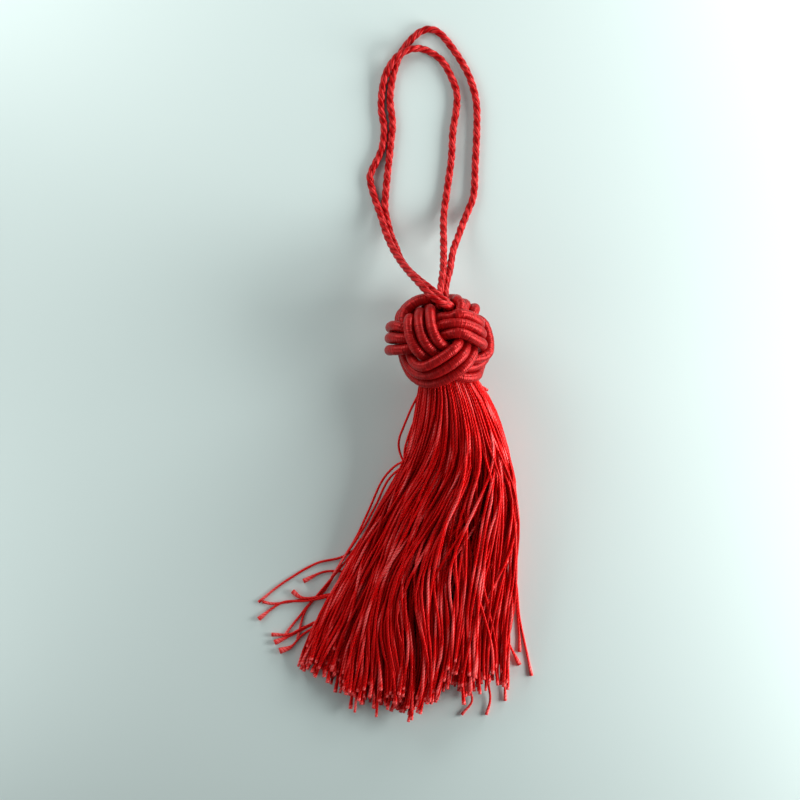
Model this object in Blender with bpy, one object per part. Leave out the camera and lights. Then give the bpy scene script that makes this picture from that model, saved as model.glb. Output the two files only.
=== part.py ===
"""A silk tassel lying on a flat surface.

One satin cord, laid three times round the path of a Turk's head knot, makes the ball. A bundle of threads,
bound at its top, sits in the ball and comes out of the hole at its foot as the skirt. Two twisted hanging
loops come out of the hole at its head. The origin is where the ball touches the surface, with +Z up and +Y
from the skirt towards the hanging loops.

Sizes here are in millimetres, in a layout whose zero is near the ball's middle. add_object() turns them
into metres and moves the rest point to the origin.
"""

import math

import bpy
import numpy as np

MM = 0.001

# The knotted ball
BALL_CENTRE = np.array([-1.5, -3.8, 10.0])
BALL_RADIUS = 8.57
LEADS, BIGHTS, PLIES = 3, 4, 3
CORD_DIAMETER = 2.0
CORD_SPACING = 2.08  # between the middles of neighbouring plies
OVER_UNDER = 1.23  # how far a lead rises over, or dips under, the one it crosses
BIGHT_LATITUDE_HEAD, BIGHT_LATITUDE_FOOT = 42.5, 28.0  # degrees
BIGHT_ROUNDING = 6.3  # degrees
BAND_SWAY = 8.3  # degrees
BALL_SPIN, BALL_TILT, BALL_ROLL = 18.0, 33.0, -7.5  # degrees
BALL_PULL = np.array([0.0, 0.375, 0.11])  # how far the bands are pulled to the head, in radii
EAR_AT, EAR_SPAN, EAR_HEIGHT = 200.0, 20.0, 1.0  # the slack bight at the left: degrees, degrees, millimetres
SHIFT_AT, SHIFT_SPAN = 125.0, 45.0  # where one ply moves over to the next, degrees along the path
HEAD_LINE_X, HEAD_LINE_Y, HEAD_LINE_SLOPE = 1.2, 5.5, 0.35  # the bights at the head are drawn down to it
ROUTE_STEP = 0.9
TIGHTENING_ROUNDS = 260
KNOT_SIDES = 8
KNOT_RING_STEP = 1.7

# The bound head of the thread bundle, inside the ball: sections across Y, from its top to its neck
#                  x     y      z   half-width, half-height
HEAD_SECTIONS = (
    (-1.3, 0.40, 10.0, 2.4, 2.4),
    (-1.3, -0.60, 10.0, 3.8, 3.8),
    (-1.3, -2.20, 10.0, 4.8, 4.8),
    (-1.3, -4.20, 9.8, 5.1, 5.1),
    (-0.8, -6.50, 9.0, 4.9, 4.9),
    (-0.2, -8.80, 8.1, 4.8, 4.8),
    (0.3, -10.60, 7.7, 5.1, 5.1),
)
HEAD_TOP = (-1.3, 1.10, 10.0)

# The skirt: sections along its threads, from the neck to the tips
#           share   left x, left y, right x, right y, top, foot
SKIRT_SECTIONS = (
    (0.00, -5.6, -12.3, 7.1, -11.9, 13.2, 1.6),
    (0.05, -6.0, -15.3, 9.0, -14.9, 12.9, 1.0),
    (0.15, -6.9, -21.4, 11.3, -20.3, 12.0, 0.0),
    (0.30, -9.0, -29.3, 13.6, -29.0, 10.2, 0.0),
    (0.50, -14.6, -39.4, 14.5, -39.1, 8.4, 0.0),
    (0.72, -21.4, -51.4, 13.9, -52.7, 6.8, 0.0),
    (0.90, -26.6, -61.0, 13.2, -63.7, 5.6, 0.0),
    (1.00, -28.3, -65.9, 12.9, -70.3, 5.0, 0.0),
)
LOCK_COLUMNS, LOCK_ROWS = 16, 6
LOCK_STATIONS = (0.16, 0.42, 0.70, 1.0)  # shares of a lock's length
LOCK_INSET = 0.2  # the share of its cell that a lock leaves free
FLATTENED_BY = 0.4  # the share of the length where the round bundle has become a flat one
SKIRT_RIM = 0.8  # 0 keeps the flat bundle as thick at its rims as in its middle, and 1 thins them to nothing
REACH_ACROSS = (-1.0, -0.6, -0.38, 0.2, 0.5, 0.75, 0.92, 1.0)  # places across the skirt
REACH = (0.99, 1.05, 1.145, 1.125, 1.04, 1.04, 0.99, 1.00)  # how long the threads are there, in shares
TIP_SCATTER = 0.02  # a share of the length
CLUMPS, CLUMPING = 7, 0.028  # how many clumps the threads draw into across the skirt, and how strongly
SWAY, SWAY_WAVES = 0.9, 1.2  # the skirt's slow sideways waves

# The hanging loops, as routes of their middle lines: x, y, z
LOOP_DIAMETER = 1.2
LOOP_LAY = 5.1  # along the cord, for one turn of its three plies
LOOP_RING_TURN = 60.0  # degrees of twist from ring to ring
# The section of three plies: degrees, share of the radius
LOOP_SECTION = ((0, 1.0), (60, 0.8), (120, 1.0), (180, 0.8), (240, 1.0), (300, 0.8))
OUTER_ROUTE = (
    (-0.2, 3.3, 11.2), (-0.2, 4.1, 11.9), (-0.25, 5.0, 12.1), (-0.2, 6.0, 11.7), (-0.2, 7.3, 10.7),
    (0.0, 8.5, 9.8), (0.3, 9.7, 9.0), (0.7, 11.1, 8.0), (1.0, 13.1, 6.6), (1.5, 15.5, 4.9), (2.4, 17.9, 3.1),
    (3.4, 20.7, 1.5), (4.5, 23.4, 0.8), (5.6, 26.6, 0.65), (5.9, 32.7, 0.65), (6.2, 39.4, 0.65),
    (6.1, 45.1, 0.65), (4.9, 49.7, 0.65), (2.9, 53.6, 0.65), (-0.2, 57.9, 0.65), (-2.2, 59.5, 0.65),
    (-4.2, 59.6, 0.65), (-6.3, 58.3, 0.65), (-9.0, 55.0, 0.65), (-10.6, 50.4, 0.65), (-11.2, 45.6, 0.65),
    (-10.7, 40.9, 0.65), (-11.1, 36.4, 0.65), (-12.2, 25.3, 0.65), (-11.9, 21.9, 0.8), (-11.1, 18.6, 1.7),
    (-10.0, 15.7, 3.7), (-9.0, 13.2, 5.9), (-7.4, 11.0, 8.6), (-5.6, 9.3, 11.2), (-3.9, 7.9, 13.2),
    (-2.4, 6.7, 14.4), (-1.1, 5.6, 14.8), (0.0, 4.7, 14.7), (0.8, 4.0, 14.1), (1.1, 3.2, 13.2),
)
INNER_ROUTE = (
    (-1.5, 3.7, 12.8), (-1.45, 4.3, 13.15), (-1.4, 5.0, 13.2), (-1.35, 5.9, 13.0), (-1.25, 7.0, 12.35),
    (-1.05, 8.2, 11.65), (-0.85, 9.7, 10.55), (-0.6, 12.0, 8.6), (-0.5, 16.3, 5.1), (-0.5, 20.9, 2.1),
    (-0.3, 23.6, 1.1), (0.2, 27.1, 0.65), (1.1, 33.7, 0.65), (1.4, 39.1, 0.65), (2.1, 43.7, 0.65),
    (2.2, 46.8, 0.65), (1.3, 49.7, 0.65), (-0.8, 53.4, 0.65), (-3.7, 55.4, 0.8), (-6.0, 55.8, 1.6),
    (-8.3, 55.1, 2.25), (-10.6, 53.2, 2.2), (-12.4, 49.6, 0.9), (-13.0, 44.2, 0.65), (-12.4, 39.9, 0.65),
    (-12.9, 35.6, 0.65), (-14.9, 31.2, 0.65), (-15.2, 29.4, 0.65), (-14.2, 25.6, 0.8), (-13.3, 23.0, 1.7),
    (-12.5, 20.4, 2.7), (-11.7, 17.9, 4.0), (-10.5, 15.3, 6.0), (-9.2, 13.1, 8.4), (-7.6, 10.9, 11.4),
    (-6.2, 9.3, 13.6), (-4.9, 7.8, 15.3), (-3.8, 6.6, 16.3), (-2.7, 5.6, 16.8), (-1.5, 4.7, 16.9),
    (-0.3, 4.1, 16.6), (0.6, 3.6, 15.9),
)
CLEARANCE = 0.32  # between pieces

# Where the ball touches the surface, which becomes the origin
REST_POINT = np.array([-1.6, -1.6, 0.0])

CORD_RED = (0.36, 0.008, 0.012, 1.0)
THREAD_RED = (0.55, 0.004, 0.01, 1.0)


def clear_scene():
    """Removes every object that the file holds."""
    for old in list(bpy.data.objects):
        bpy.data.objects.remove(old, do_unlink=True)


def silk(name, colour, roughness):
    """A plain dyed-silk material."""
    material = bpy.data.materials.new(name)
    material.use_nodes = True
    shader = material.node_tree.nodes["Principled BSDF"]
    shader.inputs["Base Color"].default_value = colour
    shader.inputs["Roughness"].default_value = roughness
    shader.inputs["Metallic"].default_value = 0.0
    return material


def add_object(name, points, faces, material):
    """Adds a mesh object, taking its points in the layout's millimetres."""
    mesh = bpy.data.meshes.new(name)
    mesh.from_pydata(((np.asarray(points) - REST_POINT) * MM).tolist(), [], faces)
    mesh.materials.append(material)
    mesh.shade_smooth()
    mesh.set_sharp_from_angle(angle=math.radians(60))
    thing = bpy.data.objects.new(name, mesh)
    bpy.context.scene.collection.objects.link(thing)
    return thing


def turned(points, axis, degrees):
    """The points turned about a main axis (0, 1 or 2) by the right-hand rule."""
    angle = math.radians(degrees)
    first, second = (axis + 1) % 3, (axis + 2) % 3
    result = points.copy()
    result[:, first] = points[:, first] * math.cos(angle) - points[:, second] * math.sin(angle)
    result[:, second] = points[:, first] * math.sin(angle) + points[:, second] * math.cos(angle)
    return result


def unit(vectors):
    return vectors / np.linalg.norm(vectors, axis=1)[:, None]


def smooth_step(x):
    x = np.clip(x, 0.0, 1.0)
    return x * x * (3 - 2 * x)


def evenly_spaced(route, step):
    """The route again, with points about one step apart."""
    along = np.r_[0.0, np.cumsum(np.linalg.norm(np.diff(route, axis=0), axis=1))]
    marks = np.linspace(0.0, along[-1], int(round(along[-1] / step)) + 1)
    return np.stack([np.interp(marks, along, route[:, axis]) for axis in range(3)], axis=1)


def through(points, step):
    """A smooth route through hand-placed points, as cubic (Catmull-Rom) stretches."""
    points = np.asarray(points, float)
    padded = np.vstack([2 * points[0] - points[1], points, 2 * points[-1] - points[-2]])
    share = np.linspace(0.0, 1.0, 12, endpoint=False)[:, None]
    stretches = []
    for a, b, c, d in zip(padded, padded[1:], padded[2:], padded[3:]):
        curve = 2 * b + (c - a) * share + (2 * a - 5 * b + 4 * c - d) * share**2
        stretches.append(0.5 * (curve + (3 * b - a - 3 * c + d) * share**3))
    return evenly_spaced(np.vstack([*stretches, points[-1:]]), step)


def knot_layout():
    """The cord's middle line as it is first laid: three circuits of a Turk's head knot, side by side.

    Along the path, theta runs round the ball's axis LEADS times for each circuit. The latitude swings between
    the bights as cos(BIGHTS / LEADS * theta), and the height over and under as the sine of (LEADS - 1) times
    that.
    """
    samples = 150
    turn = np.arange(PLIES * samples) / samples
    turn = turn[turn < PLIES - SHIFT_SPAN / (360.0 * LEADS)]
    share = turn - np.floor(turn)
    theta = np.radians(SHIFT_AT + share * 360.0 * LEADS)
    swing = theta * BIGHTS / LEADS
    shift = smooth_step(1 - (1 - share) * 360.0 * LEADS / SHIFT_SPAN)
    ply = np.floor(turn) - (PLIES - 1) / 2 + shift
    reach = np.where(np.cos(swing) > 0, BIGHT_LATITUDE_HEAD, BIGHT_LATITUDE_FOOT)
    latitude = np.radians(reach * np.cos(swing) + BIGHT_ROUNDING * np.cos(3 * swing))
    azimuth = theta + math.radians(BAND_SWAY) * np.sin(2 * swing)
    out = np.stack(
        [np.cos(latitude) * np.cos(azimuth), np.cos(latitude) * np.sin(azimuth), np.sin(latitude)], axis=1
    )
    for axis, degrees in ((2, BALL_SPIN), (0, BALL_TILT - 90.0), (2, BALL_ROLL)):
        out = turned(out, axis, degrees)
    out = unit(out + BALL_PULL)
    side = unit(np.cross(out, np.gradient(out, axis=0)))
    slant = (ply * CORD_SPACING / BALL_RADIUS)[:, None]
    from_ear = (np.degrees(theta) - EAR_AT + 180 * LEADS) % (360 * LEADS) - 180 * LEADS
    height = OVER_UNDER * np.clip(1.4 * np.sin((LEADS - 1) * swing), -1, 1)
    height += EAR_HEIGHT * np.exp(-((from_ear / EAR_SPAN) ** 2))
    return BALL_CENTRE + (out * np.cos(slant) + side * np.sin(slant)) * (BALL_RADIUS + height)[:, None]


def push_out(points, others, reach):
    """How each point moves to be at least its reach from the others, shared among those that push it."""
    apart = points[:, None] - others[None]
    distance = np.linalg.norm(apart, axis=2) + 1e-9
    lack = np.where(distance < reach, reach - distance, 0.0)
    share = np.sqrt(np.maximum((lack > 0).sum(axis=1), 1))
    return (apart / distance[..., None] * lack[..., None]).sum(axis=1) / share[:, None]


def knot_route(loops):
    """The knot's middle line drawn tight: its stretches clear of each other and of other pieces."""
    laid = evenly_spaced(knot_layout(), ROUTE_STEP)
    route = laid.copy()
    order = np.arange(len(route))
    neighbours = np.abs(order[:, None] - order[None]) * ROUTE_STEP < 1.7 * CORD_DIAMETER
    apart = np.where(neighbours, 0.0, CORD_SPACING)
    solids = [(*HEAD_SECTIONS[row][:3], HEAD_SECTIONS[row][3]) for row in range(2, len(HEAD_SECTIONS))]
    solids += [(*point, LOOP_DIAMETER / 2) for point in loops]
    solids = np.array(solids)
    clear = solids[:, 3] + CORD_DIAMETER / 2 + CLEARANCE
    for round_number in range(TIGHTENING_ROUNDS):
        move = 0.5 * push_out(route, route, apart) + 0.7 * push_out(route, solids[:, :3], clear)
        if round_number < 0.9 * TIGHTENING_ROUNDS:
            bend = np.zeros_like(route)
            bend[1:-1] = (route[:-2] + route[2:]) / 2 - route[1:-1]
            stiffness = np.zeros_like(route)
            stiffness[2:-2] = (bend[1:-3] + bend[3:-1]) / 2 - bend[2:-2]
            move += -0.3 * stiffness + 0.015 * (laid - route)
        head_line = HEAD_LINE_Y - HEAD_LINE_SLOPE * np.maximum(route[:, 0] - HEAD_LINE_X, 0.0)
        move[:, 1] -= 0.5 * np.maximum(route[:, 1] - head_line, 0.0)
        move[1:-1] = (move[:-2] + 2 * move[1:-1] + move[2:]) / 4
        route += move
    return route


def sweep(route, section, normals, turn):
    """Points and faces of a section carried along a route. The section is (degrees, radius) pairs."""
    forward = unit(np.gradient(route, axis=0))
    normals = unit(normals - (normals * forward).sum(axis=1)[:, None] * forward)
    sideways = np.cross(forward, normals)
    angles = np.radians([degrees for degrees, _ in section])
    radii = np.array([radius for _, radius in section])
    angles = angles[None] + np.radians(turn) * np.arange(len(route))[:, None]
    rings = (
        route[:, None]
        + (radii * np.cos(angles))[..., None] * normals[:, None]
        + (radii * np.sin(angles))[..., None] * sideways[:, None]
    )
    sides = len(section)
    faces = []
    for ring in range(len(route) - 1):
        for side in range(sides):
            near, far = ring * sides, (ring + 1) * sides
            other = (side + 1) % sides
            faces.append((near + side, near + other, far + other, far + side))
    faces.append(tuple(range(sides))[::-1])
    last = (len(route) - 1) * sides
    faces.append(tuple(range(last, last + sides)))
    return rings.reshape(-1, 3), faces


def untwisted_normals(route):
    """A normal at each point, carried along the route without turning about it."""
    forward = unit(np.gradient(route, axis=0))
    normal = np.array([0.0, 0.0, 1.0])
    normals = []
    for direction in forward:
        normal = normal - normal.dot(direction) * direction
        normal = normal / np.linalg.norm(normal)
        normals.append(normal)
    return np.array(normals)


def make_knot(loops, material):
    """The ball: one cord, pressed flat where it touches the surface."""
    route = evenly_spaced(knot_route(loops), KNOT_RING_STEP)
    half_side = 180.0 / KNOT_SIDES
    section = [(half_side + 2 * half_side * side, CORD_DIAMETER / 2) for side in range(KNOT_SIDES)]
    points, faces = sweep(route, section, route - BALL_CENTRE, 0.0)
    points[:, 2] = np.maximum(points[:, 2], 0.0)
    return add_object("knot", points, faces, material)


def make_loop(name, route, material):
    """A hanging loop of three plies twisted together."""
    route = through(route, LOOP_LAY * LOOP_RING_TURN / 360.0)
    section = [(degrees, share * LOOP_DIAMETER / 2) for degrees, share in LOOP_SECTION]
    points, faces = sweep(route, section, untwisted_normals(route), -LOOP_RING_TURN)
    return add_object(name, points, faces, material)


def bundle_point(across, up, along):
    """Where a thread is, from its place in the bundle (both -1 to 1) and the share of the skirt's length."""
    table = np.array(SKIRT_SECTIONS)
    beyond = np.maximum(along - 1.0, 0.0)
    at = [np.interp(along, table[:, 0], table[:, column]) for column in range(1, 7)]
    last_slope = (table[-1] - table[-2]) / (table[-1, 0] - table[-2, 0])
    at = [value + beyond * last_slope[column + 1] * (column < 4) for column, value in enumerate(at)]
    left_x, left_y, right_x, right_y, top, foot = at
    flat = smooth_step(along / FLATTENED_BY)
    disc_across = across * math.sqrt(1 - up * up / 2)
    disc_up = up * math.sqrt(1 - across * across / 2)
    clumped = across + CLUMPING * math.sin(math.pi * CLUMPS * across + 2 * up)
    sway = SWAY * flat * math.sin(math.tau * (SWAY_WAVES * along + 0.8 * across))
    place = ((1 - flat) * disc_across + flat * clumped + 1) / 2
    round_z = (top + foot) / 2 + disc_up * (top - foot) / 2
    cell = 2.0 / LOCK_ROWS
    level = (up + 1 - cell * LOCK_INSET / 3) / 2
    flat_z = top * level * math.sqrt(1 - SKIRT_RIM * across * across)
    z = max((1 - flat) * round_z + flat * flat_z, 0.0)
    return (left_x + place * (right_x - left_x) + sway, left_y + place * (right_y - left_y), z)


def lock_reach(across, number):
    """How long a lock is, as a share of the skirt's length: longest left of the middle, and uneven."""
    return np.interp(across, REACH_ACROSS, REACH) + TIP_SCATTER * math.sin(2.4 * number**1.3)


def make_skirt(material):
    """The thread bundle: three-sided locks that grow from the neck's face, and the bound head behind it."""
    columns, rows = np.linspace(-1, 1, LOCK_COLUMNS + 1), np.linspace(-1, 1, LOCK_ROWS + 1)
    lattice = [(across, up) for up in rows for across in columns]
    points = [bundle_point(across, up, 0.0) for across, up in lattice]
    faces = []
    cells = []
    for row in range(LOCK_ROWS):
        for column in range(LOCK_COLUMNS):
            low = row * (LOCK_COLUMNS + 1) + column
            high = low + LOCK_COLUMNS + 1
            cells += [(low, low + 1, high), (low + 1, high + 1, high)]
    for number, cell in enumerate(cells):
        corners = np.array([lattice[corner] for corner in cell])
        inset = corners + (corners.mean(axis=0) - corners) * LOCK_INSET
        reach = lock_reach(inset[:, 0].mean(), number)
        ring = cell
        for station in (0.0, *LOCK_STATIONS):
            first = len(points)
            points += [bundle_point(across, up, station * reach) for across, up in inset]
            following = (first, first + 1, first + 2)
            for side in range(3):
                other = (side + 1) % 3
                faces.append((ring[side], ring[other], following[other], following[side]))
            ring = following
        faces.append(ring)
    add_head(points, faces, lattice)
    return add_object("skirt", points, faces, material)


def add_head(points, faces, lattice):
    """Carries the rim of the neck's face back through the sections of the bound head, and closes its top."""
    width, last = LOCK_COLUMNS + 1, LOCK_ROWS * (LOCK_COLUMNS + 1)
    rim = [*range(0, width), *range(2 * width - 1, last, width)]
    rim += [*range(last + width - 1, last - 1, -1), *range(last - width, 0, -width)]
    ring = rim
    for x, y, z, wide, high in reversed(HEAD_SECTIONS):
        first = len(points)
        for across, up in (lattice[corner] for corner in rim):
            disc_across = across * math.sqrt(1 - up * up / 2)
            disc_up = up * math.sqrt(1 - across * across / 2)
            points.append((x + disc_across * wide, y, z + disc_up * high))
        following = list(range(first, first + len(rim)))
        for side in range(len(rim)):
            other = (side + 1) % len(rim)
            faces.append((ring[other], ring[side], following[side], following[other]))
        ring = following
    points.append(HEAD_TOP)
    faces += [(ring[(side + 1) % len(rim)], ring[side], len(points) - 1) for side in range(len(rim))]


def main():
    clear_scene()
    cord_silk = silk("cord_silk", CORD_RED, 0.45)
    thread_silk = silk("thread_silk", THREAD_RED, 0.4)
    loops = np.vstack([through(OUTER_ROUTE, 0.5), through(INNER_ROUTE, 0.5)])
    near_ball = np.linalg.norm(loops - BALL_CENTRE, axis=1) < BALL_RADIUS + 5
    make_knot(loops[near_ball], cord_silk)
    make_skirt(thread_silk)
    make_loop("loop_outer", OUTER_ROUTE, thread_silk)
    make_loop("loop_inner", INNER_ROUTE, thread_silk)


main()
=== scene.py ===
# %% [markdown]
# # A red silk tassel lying on a table
# The tassel has four kinds of parts: a ball knotted from one satin cord, a skirt of loose silk threads, the
# bound head of those threads hidden in the ball, and two twisted hanging loops. This lesson works out each of
# them with numpy, gives each a procedural finish, and lights them softly on pale paper.
# The first step loads the plain solids. They stay the measure for everything that follows. All places are
# written in millimetres, on a layout whose table top has height 0, and go to the frame's metres last.

# %% Load the frame
import math

import bpy
import numpy as np
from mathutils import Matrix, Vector


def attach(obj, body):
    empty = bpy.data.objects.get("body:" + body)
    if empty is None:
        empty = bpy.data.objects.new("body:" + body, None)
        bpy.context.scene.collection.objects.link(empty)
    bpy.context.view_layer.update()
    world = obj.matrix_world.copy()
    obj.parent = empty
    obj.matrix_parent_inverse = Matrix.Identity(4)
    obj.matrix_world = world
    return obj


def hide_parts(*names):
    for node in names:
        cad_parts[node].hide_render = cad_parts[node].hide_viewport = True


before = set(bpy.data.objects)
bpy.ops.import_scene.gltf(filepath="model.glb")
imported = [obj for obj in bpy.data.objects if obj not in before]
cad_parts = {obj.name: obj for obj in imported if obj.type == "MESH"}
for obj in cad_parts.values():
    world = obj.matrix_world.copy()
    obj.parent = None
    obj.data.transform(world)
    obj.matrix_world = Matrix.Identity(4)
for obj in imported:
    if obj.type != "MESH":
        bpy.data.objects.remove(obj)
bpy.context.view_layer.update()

MM = 0.001
REST_POINT = np.array([-1.6, -1.6, 0.0])  # the layout's place of the frame's origin


def to_frame(points):
    """Layout millimetres to the frame's metres: (point - rest point) * 0.001."""
    return (np.asarray(points, float) - REST_POINT) * MM


# %% [markdown]
# ## Camera
# The tassel is seen from straight above, as by someone who leans over the table. A longer lens from higher
# up would show the same outline, but flatter. Here the lens follows from a few plain numbers: how wide the
# view is at the height of the tassel's middle, how high the camera is, and the width of its sensor.

# %% Camera
VIEW_WIDTH = 160.0
VIEW_MIDDLE = (-9.2, -14.7)
CAMERA_HEIGHT = 900.0
TASSEL_MIDDLE_HEIGHT = 4.0
SENSOR_WIDTH = 36.0

camera_data = bpy.data.cameras.new("camera")
camera_data.sensor_width = SENSOR_WIDTH
camera_data.lens = SENSOR_WIDTH * (CAMERA_HEIGHT - TASSEL_MIDDLE_HEIGHT) / VIEW_WIDTH
camera_data.clip_start, camera_data.clip_end = 0.01, 10.0  # metres
camera = bpy.data.objects.new("camera", camera_data)
camera.location = to_frame((*VIEW_MIDDLE, CAMERA_HEIGHT))
bpy.context.scene.collection.objects.link(camera)
bpy.context.scene.camera = camera
print("lens", round(camera_data.lens, 1), "mm")

# %% [markdown]
# ## Routes and tubes
# Cords and threads are tubes: a ring of points carried along a route. Blender's curves with a bevel can do
# this, but a tube worked out from a formula can carry a twisted section and a measure of the way round and
# along for its finish, and hundreds come at once. Each helper below works on whole arrays.

# %% Helpers for routes
CURVE_STEPS = 12  # from one place of a route to the next, before its points are spaced evenly


def dot(a, b):
    """The dot product of each pair of vectors: the sum of a * b over the last axis."""
    return (a * b).sum(axis=-1, keepdims=True)


def unit(vectors):
    """Each vector divided by its length."""
    return vectors / np.linalg.norm(vectors, axis=-1, keepdims=True)


def smooth_step(x):
    """3 x^2 - 2 x^3 between 0 and 1, level outside."""
    x = np.clip(x, 0.0, 1.0)
    return x * x * (3 - 2 * x)


def distance_along(routes):
    """The running sum of the distances between a route's points, for routes of shape (routes, points, 3)."""
    steps = np.linalg.norm(np.diff(routes, axis=1), axis=2)
    return np.concatenate([np.zeros((len(routes), 1)), np.cumsum(steps, axis=1)], axis=1)


def evenly_spaced(route, step):
    """The route again, with points about one step apart: each coordinate interpolated over the distance."""
    along = distance_along(route[None])[0]
    marks = np.linspace(0.0, along[-1], int(round(along[-1] / step)) + 1)
    return np.stack([np.interp(marks, along, route[:, axis]) for axis in range(3)], axis=1)


def through(points, step):
    """A smooth route through points a, b, c, d ...: from b to c it is the Catmull-Rom cubic in the share t,
    (2b + (c - a) t + (2a - 5b + 4c - d) t^2 + (3b - a - 3c + d) t^3) / 2."""
    points = np.asarray(points, float)
    padded = np.vstack([2 * points[0] - points[1], points, 2 * points[-1] - points[-2]])
    a, b, c, d = (padded[first : len(padded) - 3 + first, None] for first in range(4))
    t = np.linspace(0.0, 1.0, CURVE_STEPS, endpoint=False)[None, :, None]
    curve = (2 * b + (c - a) * t + (2 * a - 5 * b + 4 * c - d) * t**2 + (3 * b - a - 3 * c + d) * t**3) / 2
    return evenly_spaced(np.vstack([curve.reshape(-1, 3), points[-1:]]), step)


print("a route through three places has", len(through([(0, 0, 0), (5, 1, 0), (9, 4, 0)], 1.0)), "points")

# %% Helpers for tubes
UP = np.array([0.0, 0.0, 1.0])
SHARP_EDGE = 80.0  # degrees, from which an edge isn't smoothed


def swept(routes, up, radii, turn=0.0):
    """Rings round routes: centre + radius * (cos(angle) * normal + sin(angle) * sideways).

    The angle is the side's share of a circle, plus turn (in radians) for each millimetre along. The normal is
    up, made square to the route. routes is (tubes, rings, 3), and radii spreads to (tubes, rings, sides)."""
    forward = unit(np.gradient(routes, axis=1))
    normal = unit(up - dot(up, forward) * forward)
    sideways = np.cross(forward, normal)
    sides = radii.shape[-1]
    along = distance_along(routes)
    angle = (math.tau * np.arange(sides) / sides + turn * along[..., None])[..., None]
    ring = np.cos(angle) * normal[:, :, None] + np.sin(angle) * sideways[:, :, None]
    return routes[:, :, None] + np.broadcast_to(radii, angle.shape[:3])[..., None] * ring


def add_object(name, points, faces, corner_uv, point_tone, sharp):
    """A mesh object from layout points, with a UV map named wrap and a number named tone on each point."""
    mesh = bpy.data.meshes.new(name)
    mesh.from_pydata(to_frame(points).tolist(), [], faces)
    uv = mesh.uv_layers.new(name="wrap")
    uv.data.foreach_set("uv", np.asarray(corner_uv, np.float32).ravel())
    tone = mesh.attributes.new("tone", "FLOAT", "POINT")
    tone.data.foreach_set("value", np.asarray(point_tone, np.float32).ravel())
    mesh.shade_smooth()
    mesh.set_sharp_from_angle(angle=math.radians(sharp))
    thing = bpy.data.objects.new(name, mesh)
    bpy.context.scene.collection.objects.link(thing)
    return thing


def add_tubes(name, rings, along, tone, sharp=SHARP_EDGE):
    """Closed tubes from rings (tubes, rings, sides, 3), pressed flat where they would go below the table. The
    UV map wrap holds (share of the way round, millimetres along), and tone is (tubes, rings)."""
    tubes, count, sides = rings.shape[:3]
    rings[..., 2] = np.maximum(rings[..., 2], 0.0)
    side = np.arange(sides)
    start = np.arange(tubes)[:, None, None] * count * sides
    near = start + np.arange(count - 1)[None, :, None] * sides
    other = (side + 1) % sides
    quads = np.stack([near + side, near + other, near + sides + other, near + sides + side], axis=-1)
    first_cap = start[:, :, 0] + side[::-1]
    last_cap = start[:, :, 0] + (count - 1) * sides + side
    round_share = np.broadcast_to(np.stack([side, side + 1, side + 1, side], axis=-1) / sides, quads.shape)
    here, there = along[:, :-1, None], along[:, 1:, None]
    length = np.broadcast_to(np.stack([here, here, there, there], axis=-1), quads.shape)
    uv = [np.stack([round_share, length], axis=-1).reshape(-1, 2)]
    for cap_side, cap_along in ((side[::-1], along[:, :1]), (side, along[:, -1:])):
        cap = np.broadcast_arrays(cap_side[None] / sides, cap_along)
        uv.append(np.stack(cap, axis=-1).reshape(-1, 2))
    faces = quads.reshape(-1, 4).tolist() + first_cap.tolist() + last_cap.tolist()
    point_tone = np.broadcast_to(tone[:, :, None], (tubes, count, sides))
    return add_object(name, rings.reshape(-1, 3), faces, np.vstack(uv), point_tone, sharp)


straight = swept(np.array([[(0.0, 0.0, 0.0), (1.0, 0.0, 0.0), (2.0, 0.0, 0.0)]]), UP, np.ones((1, 3, 4)))
print("a short straight tube has", straight.shape[1], "rings of", straight.shape[2], "points")

# %% [markdown]
# ## The hanging loops
# Each loop is a cord of three plies laid together, 1.5 mm over its ridges, which comes out of the hole at the
# ball's head, goes round, and dives back in. Its section is the outline of three rounded plies, and turning
# that section once every 5.1 mm gives the rope its ridges. Three separate helical tubes would show the same
# ridges, but they would hide half their faces inside each other.
# The routes are listed: out of the hole, over the knot, down to the table, round and back. The two
# loops cross at the upper left, where the inner one rises over the outer one.

# %% Where the hanging loops run
OUTER_ROUTE = (
    (-0.2, 3.3, 11.2), (-0.2, 4.1, 11.9), (-0.25, 5.0, 12.1), (-0.2, 6.0, 11.7), (-0.2, 7.3, 10.7),
    (0.0, 8.5, 9.8), (0.3, 9.7, 9.0), (0.7, 11.1, 8.0), (1.0, 13.1, 6.6), (1.5, 15.5, 4.9), (2.4, 17.9, 3.1),
    (3.4, 20.7, 1.5), (4.5, 23.4, 0.8), (5.6, 26.6, 0.65), (5.9, 32.7, 0.65), (6.2, 39.4, 0.65),
    (6.1, 45.1, 0.65), (4.9, 49.7, 0.65), (2.9, 53.6, 0.65), (-0.2, 57.9, 0.65), (-2.2, 59.5, 0.65),
    (-4.2, 59.6, 0.65), (-6.3, 58.3, 0.65), (-9.0, 55.0, 0.65), (-10.6, 50.4, 0.65), (-11.2, 45.6, 0.65),
    (-10.7, 40.9, 0.65), (-11.1, 36.4, 0.65), (-12.2, 25.3, 0.65), (-11.9, 21.9, 0.8), (-11.1, 18.6, 1.7),
    (-10.0, 15.7, 3.7), (-9.0, 13.2, 5.9), (-7.4, 11.0, 8.6), (-5.6, 9.3, 11.2), (-3.9, 7.9, 13.2),
    (-2.4, 6.7, 14.4), (-1.1, 5.6, 14.8), (0.0, 4.7, 14.7), (0.8, 4.0, 14.1), (1.1, 3.2, 13.2),
)
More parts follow.
